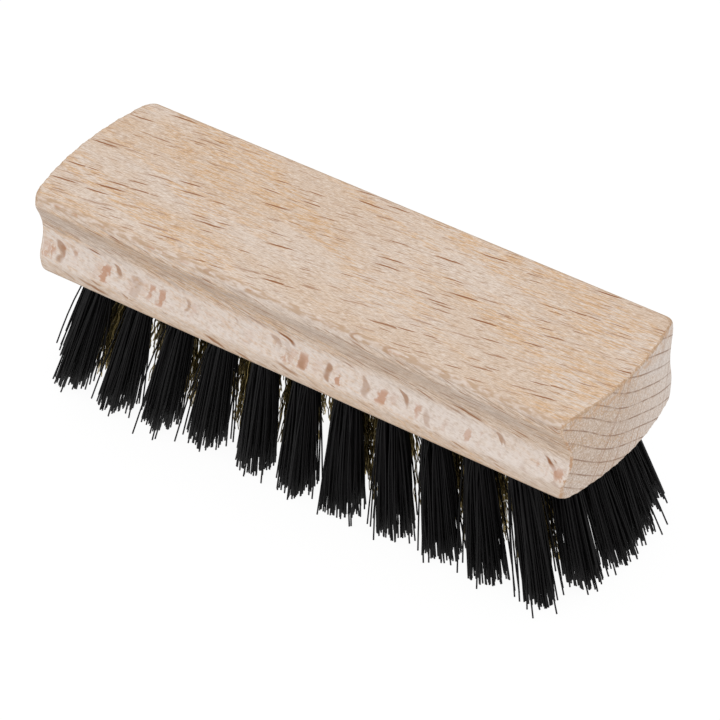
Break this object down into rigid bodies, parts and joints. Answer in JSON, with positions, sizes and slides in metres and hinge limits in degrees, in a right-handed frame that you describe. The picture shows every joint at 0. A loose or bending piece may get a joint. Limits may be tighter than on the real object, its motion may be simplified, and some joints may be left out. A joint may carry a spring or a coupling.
{
  "type": "hand brush",
  "caption": "Short hand brush: a coved beech block with a ring of stiff black bristle tufts around crimped brass wire tufts.",
  "frame": {"origin": "middle of the brush's footprint, in the plane of the bristle tips", "axes": "+X along the block, +Y across it, +Z from the bristle tips up to the block's top face"},
  "size_m": [0.1222, 0.041, 0.0427],
  "materials": {
    "beech": "raw sanded beech, no varnish",
    "black_filament": "black polymer filament, slight sheen",
    "brass_wire": "fine crimped wire, dulled"
  },
  "bodies": {
    "root": {"block": "beech", "bristle_tuft_front_01": "black_filament", "bristle_tuft_front_02": "black_filament", "bristle_tuft_front_03": "black_filament", "bristle_tuft_front_04": "black_filament", "bristle_tuft_front_05": "black_filament", "bristle_tuft_front_06": "black_filament", "bristle_tuft_front_07": "black_filament", "bristle_tuft_front_08": "black_filament", "bristle_tuft_front_09": "black_filament", "bristle_tuft_front_10": "black_filament", "bristle_tuft_front_11": "black_filament", "bristle_tuft_back_01": "black_filament", "bristle_tuft_back_02": "black_filament", "bristle_tuft_back_03": "black_filament", "bristle_tuft_back_04": "black_filament", "bristle_tuft_back_05": "black_filament", "bristle_tuft_back_06": "black_filament", "bristle_tuft_back_07": "black_filament", "bristle_tuft_back_08": "black_filament", "bristle_tuft_back_09": "black_filament", "bristle_tuft_back_10": "black_filament", "bristle_tuft_back_11": "black_filament", "bristle_tuft_left_end_1": "black_filament", "bristle_tuft_left_end_2": "black_filament", "bristle_tuft_left_end_3": "black_filament", "bristle_tuft_right_end_1": "black_filament", "bristle_tuft_right_end_2": "black_filament", "bristle_tuft_right_end_3": "black_filament", "brass_tuft_front_01": "brass_wire", "brass_tuft_front_02": "brass_wire", "brass_tuft_front_03": "brass_wire", "brass_tuft_front_04": "brass_wire", "brass_tuft_front_05": "brass_wire", "brass_tuft_front_06": "brass_wire", "brass_tuft_front_07": "brass_wire", "brass_tuft_front_08": "brass_wire", "brass_tuft_front_09": "brass_wire", "brass_tuft_front_10": "brass_wire", "brass_tuft_middle_01": "brass_wire", "brass_tuft_middle_02": "brass_wire", "brass_tuft_middle_03": "brass_wire", "brass_tuft_middle_04": "brass_wire", "brass_tuft_middle_05": "brass_wire", "brass_tuft_middle_06": "brass_wire", "brass_tuft_middle_07": "brass_wire", "brass_tuft_middle_08": "brass_wire", "brass_tuft_middle_09": "brass_wire", "brass_tuft_back_01": "brass_wire", "brass_tuft_back_02": "brass_wire", "brass_tuft_back_03": "brass_wire", "brass_tuft_back_04": "brass_wire", "brass_tuft_back_05": "brass_wire", "brass_tuft_back_06": "brass_wire", "brass_tuft_back_07": "brass_wire", "brass_tuft_back_08": "brass_wire", "brass_tuft_back_09": "brass_wire", "brass_tuft_back_10": "brass_wire"}
  },
  "joints": []
}
